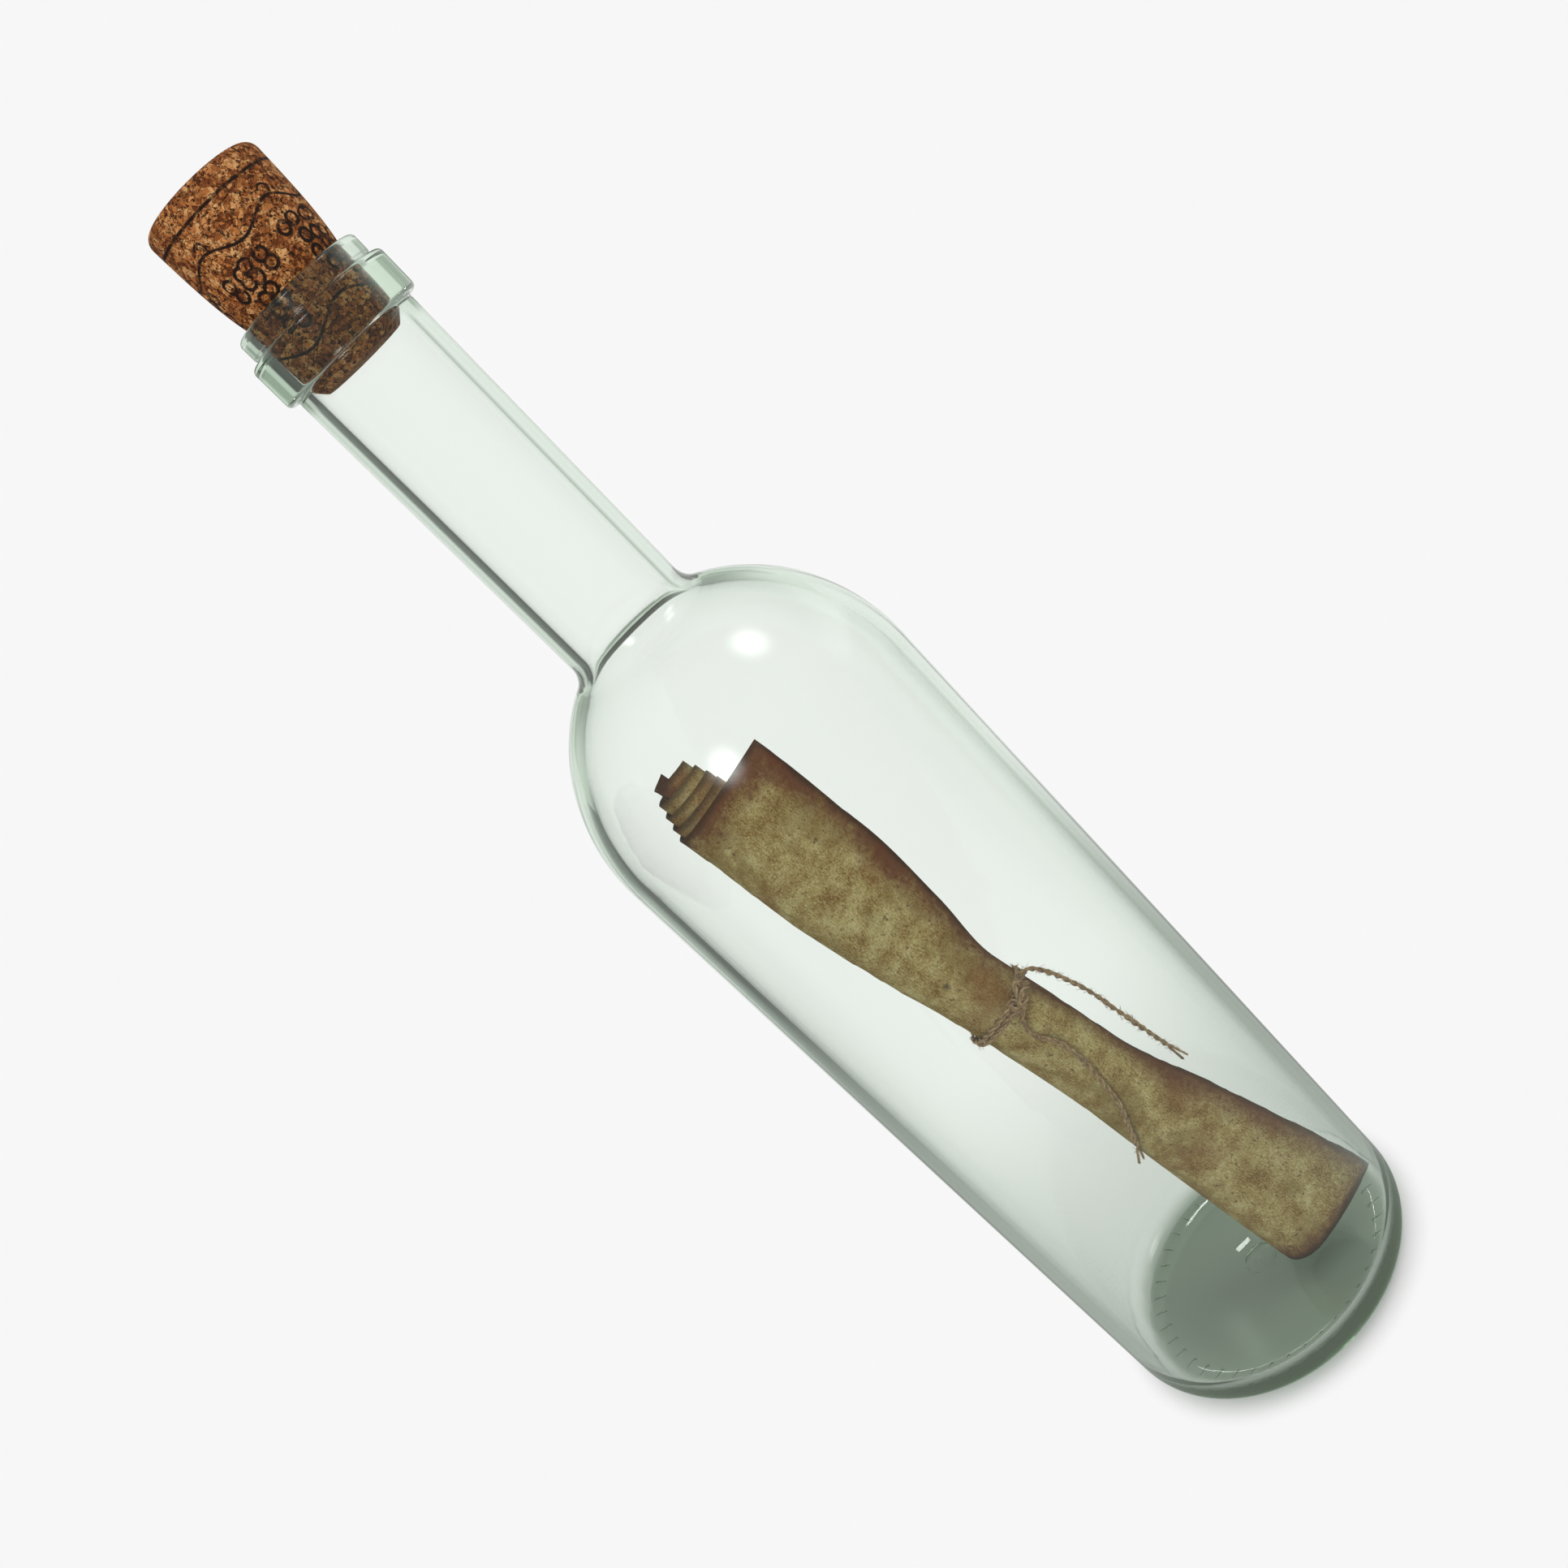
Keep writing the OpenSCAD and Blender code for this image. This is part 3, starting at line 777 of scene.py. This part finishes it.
# %% Cork finish
cork = Finish("pressed_cork", Roughness=0.8, Specular_IOR_Level=0.2)
where = cork.place()
bend = cork.node("ShaderNodeTexNoise", None, {"Vector": where, "Scale": 1500.0, "Detail": 3.0}, "Color")
bent = cork.node("ShaderNodeVectorMath", {"operation": "MULTIPLY_ADD"},
                 {0: bend, 1: (0.001, 0.001, 0.001), 2: where})
granule = cork.apart(cork.cells(bent, 520.0, "Color"), "X")
crumb = cork.apart(cork.cells(bent, 1400.0, "Color"), "Y")
gaps = cork.cells(bent, 520.0, "Distance", "DISTANCE_TO_EDGE").step(0.06, 0.0)
cracks = cork.cells(bent, 1400.0, "Distance", "DISTANCE_TO_EDGE").step(0.05, 0.0)
grain = cork.noise(where, 4200.0, detail=4.0, roughness=0.8)
pits = cork.noise(where, 2000.0, detail=3.0, distortion=0.8).step(0.57, 0.6)
cork_colour = cork.ramp(granule * 0.3 + crumb * 0.34 + grain * 0.36,
                        [(0.3, paint(112, 56, 22)), (0.42, paint(160, 94, 46)), (0.54, paint(200, 126, 66)),
                         (0.7, paint(236, 176, 114))])
patches = cork.noise(where, 200.0, detail=2.0)
cork_colour = cork.mix(patches.step(0.45, 0.6) * 0.18, cork_colour, paint(118, 62, 30))
cork_colour = cork.mix(gaps * 0.75, cork_colour, paint(62, 30, 14))
cork_colour = cork.mix(cracks * 0.45, cork_colour, paint(76, 38, 18))
speck = cork.cells(bent, 1000.0)
dark_speck = cork.apart(Wire(cork, speck.socket.node.outputs["Color"]), "Z").math("GREATER_THAN", 0.72)
pits = pits.largest(speck.step(0.32, 0.22) * dark_speck)
cork_colour = cork.mix(pits * 0.9, cork_colour, paint(34, 18, 10))

# %% Lines burnt on the cork
side = cork.sheet_place()
around, above = cork.apart(side, "X"), cork.apart(side, "Y")
bunch_width = 2 * math.pi * unrolled_r / 5
berry_size = 2.9
berry = cork.node("ShaderNodeTexVoronoi", {"voronoi_dimensions": "2D"},
                  {"Vector": side, "Scale": 1 / berry_size, "Randomness": 0.6}, "Distance")
berry_middle = Wire(cork, berry.socket.node.outputs["Position"])
middle_x = cork.apart(berry_middle, "X").math("FLOORED_MODULO", bunch_width) - bunch_width / 2
middle_y = cork.apart(berry_middle, "Y")
in_bunch = (middle_y * 0.35 + 3.4 - middle_x.size()).math("GREATER_THAN", 0.0)
in_bunch = in_bunch * middle_y.math("LESS_THAN", 8.2) * middle_y.math("GREATER_THAN", -5.5)
berries = (berry - 0.4).size().step(0.16, 0.07) * in_bunch
vine = (above - 11.0 - (around * (5 / unrolled_r)).math("SINE") * 1.3).size().step(0.42, 0.16)
low_vine = (above + 8.0 - (around * (4 / unrolled_r)).math("SINE") * 1.6).size().step(0.42, 0.16)
curl_x = around.math("FLOORED_MODULO", bunch_width) - bunch_width * 0.3
curl_y = above - 13.2
curl = ((curl_x * curl_x + curl_y * curl_y).power(0.5) - 1.1).size().step(0.32, 0.13)
curl = curl * (curl_x * 0.6 + curl_y + 0.3).math("GREATER_THAN", 0.0)
ring = (above - 17.3).size().step(0.42, 0.16)
wear = cork.noise(where, 700.0, detail=3.0).step(0.34, 0.5) * 0.4 + 0.6
burnt = berries.largest(vine).largest(low_vine).largest(curl).largest(ring) * wear
cork_colour = cork.mix(burnt, cork_colour, paint(38, 22, 14))
cork.set("Base Color", cork_colour)
cork.bump(grain * 0.35 + crumb * 0.15 - gaps * 0.3 - pits * 0.4, 0.2 * MM)
add_piece("cork_plug", cork_mesh, cork, "stopper", ["cork"])

# %% [markdown]
# The table and the backdrop are one pale, even surface. The table shows its plain colour and a
# soft shadow under the bottle, and fades into the background a few centimetres away. Light that
# has been mirrored inside the glass sees a darker room instead, and that draws the dark lines
# along the edges of a clear bottle.

# %% What a ray sees
pale = paint(247, 247, 247)
# The two near colours are a painted shade round the bottle: the backdrop seen through glass and in mirrors,
# made darker close to it.
behind_glass, painted_shade_behind, painted_shade_in_mirrors = (1.0, 1.0, 1.0), (0.68, 0.7, 0.68), (0.4, 0.43, 0.4)
ceiling, front = (0.32, 0.34, 0.32), (0.24, 0.25, 0.24)
walls_seen_low = [(0.0, (0.1, 0.1, 0.1)), (0.2, (0.18, 0.19, 0.18)), (0.26, (0.76, 0.81, 0.76)),
                  (0.85, (0.86, 0.88, 0.86)), (0.91, (0.5, 0.54, 0.5))]
walls_seen_high = [(0.17, (0.1, 0.1, 0.1)), (0.21, (0.6, 0.66, 0.6)), (0.3, (0.6, 0.66, 0.6)),
                   (0.35, (0.34, 0.4, 0.34)), (0.66, (0.38, 0.44, 0.38)), (0.72, (0.74, 0.79, 0.74))]


def room(network, direction):
    """What a mirror shows: walls in stripes from left to right, a dim front and a dim ceiling."""
    across = network.apart(direction, "X") * 0.5 + 0.5
    upwards = network.apart(direction, "Z")
    walls = network.mix(upwards.step(0.046, 0.056), network.ramp(across, walls_seen_low),
                        network.ramp(across, walls_seen_high))
    walls = network.mix(network.apart(direction, "Y").step(0.05, -0.25), walls, front)
    return network.mix(upwards.step(0.15, 0.4), walls, ceiling)


def backdrop(network, around, behind, light):
    """The backdrop's colour for each kind of ray: camera, straight through glass, or any other."""
    mirrored = network.light_path("Glossy Depth").math("GREATER_THAN", 0.5)
    scattered = network.light_path("Diffuse Depth").math("GREATER_THAN", 0.5)
    through = network.light_path("Is Transmission Ray") * (1 - mirrored)
    colour = network.mix(through, around, behind)
    colour = network.mix(scattered, colour, light)
    return network.mix(network.light_path("Is Camera Ray"), colour, pale)


# %% [markdown]
# Under the bottle the table is plain and takes the shadow. Further out it shows the backdrop, with
# a painted shade on what lies close to the bottle, seen through glass and in mirrors.

# %% Table
bm = bmesh.new()
bmesh.ops.create_circle(bm, cap_ends=True, segments=64, radius=6.0,
                        matrix=Matrix.Translation((0, 0, -0.05 * MM)))
table_mesh = mesh_from(bm, "table", smooth=False)
table_finish = Finish("table", Roughness=0.9, Specular_IOR_Level=0.0)
table_finish.set("Base Color", (*pale, 1))
far = table_finish.node("ShaderNodeVectorMath", {"operation": "LENGTH"},
                        {0: table_finish.place()}, "Value")
outwards = table_finish.node("ShaderNodeVectorMath", {"operation": "NORMALIZE"},
                             {0: table_finish.place()})
# Painted shade: close to the bottle, the backdrop seen in mirrors and through glass is darker.
around = table_finish.mix(far.step(0.08, 0.4), painted_shade_in_mirrors, room(table_finish, outwards))
behind = table_finish.mix(far.step(0.02, 0.17), painted_shade_behind, behind_glass)
glow = table_finish.node("ShaderNodeEmission", None,
                         {"Color": backdrop(table_finish, around, behind, (0.5, 0.5, 0.5)), "Strength": 1.0})
share = far.step(0.032, 0.042)
surface = Wire(table_finish, table_finish.surface.outputs[0])
table_mix = table_finish.node("ShaderNodeMixShader", None, {0: share, 1: surface, 2: glow})
table_finish.tree.links.new(table_mix.socket, table_finish.output.inputs["Surface"])
table = bpy.data.objects.new("table", table_mesh)
bpy.context.collection.objects.link(table)
table.data.materials.append(table_finish.material)


# %% [markdown]
# The world shows the same backdrop wherever a ray misses the table.

# %% World
class Sky(Finish):
    """The world's network, filled in with the same methods."""

    def __init__(self, world):
        world.use_nodes = True
        self.tree = world.node_tree
        self.surface = self.tree.nodes["Background"]


world = bpy.data.worlds.new("studio")
bpy.context.scene.world = world
sky = Sky(world)
outwards = sky.node("ShaderNodeTexCoord", out="Generated")
sky.set("Color", backdrop(sky, room(sky, outwards), behind_glass, (0.28, 0.28, 0.28)))


# %% [markdown]
# Three soft lamps stand where the highlights on the photographed bottle say: a round one high on
# the right, a round one low at the front left, and a softbox behind. They are hidden from the
# camera, so that none shows in a view from another side. One picture of a studio wrapped round the
# scene would light it too, but each lamp here can be set by the highlight that it makes.

# %% Lamps
class Glow(Finish):
    """A lamp's network. Seen in a mirror it fades towards its rim, as a light behind a diffuser does,
    and light that the object has scattered doesn't meet it."""

    def __init__(self, data, shine, fade):
        data.use_nodes = True
        self.tree = data.node_tree
        self.surface = self.tree.nodes["Emission"]
        spot = self.node("ShaderNodeNewGeometry", out="Parametric")
        off = self.node("ShaderNodeVectorMath", {"operation": "DISTANCE"},
                        {0: spot, 1: (0.5, 0.5, 0)}, "Value")
        scattered = self.light_path("Diffuse Depth").math("GREATER_THAN", 0.5)
        mirrored = self.light_path("Glossy Depth").math("GREATER_THAN", 0.5)
        disk = (off * 2).step(1.0, 0.0).power(fade) * shine
        self.set("Strength", (1 - mirrored + mirrored * disk) * (1 - scattered))


def lamp(name, direction, distance, shape, size, power, shine, fade):
    data = bpy.data.lights.new(name, "AREA")
    data.shape = shape
    data.size = size
    data.size_y = size * 0.45
    data.energy = power
    light = bpy.data.objects.new(name, data)
    bpy.context.collection.objects.link(light)
    middle = Vector((0, 0, 0.19))
    light.location = middle + distance * Vector(direction).normalized()
    light.rotation_euler = Vector(direction).to_track_quat("Z", "Y").to_euler()
    light.visible_camera = False
    Glow(data, shine, fade)
    print(f"lamp {name}: {power} W at {distance} m")


lamp("high_right", (0.63, -0.17, 0.75), 1.1, "DISK", size=0.7, power=4.5, shine=1.5, fade=2.0)
lamp("front_left", (-0.33, -0.86, 0.4), 1.1, "DISK", size=0.7, power=5.8, shine=1.5, fade=2.0)
lamp("behind", (-0.01, 0.87, 0.49), 1.2, "RECTANGLE", size=0.08, power=2.4, shine=0.35, fade=0.0)

# %% [markdown]
# Last, the colours are shown as they are, with the plain view transform.

# %% View transform
bpy.context.scene.view_settings.view_transform = "Standard"
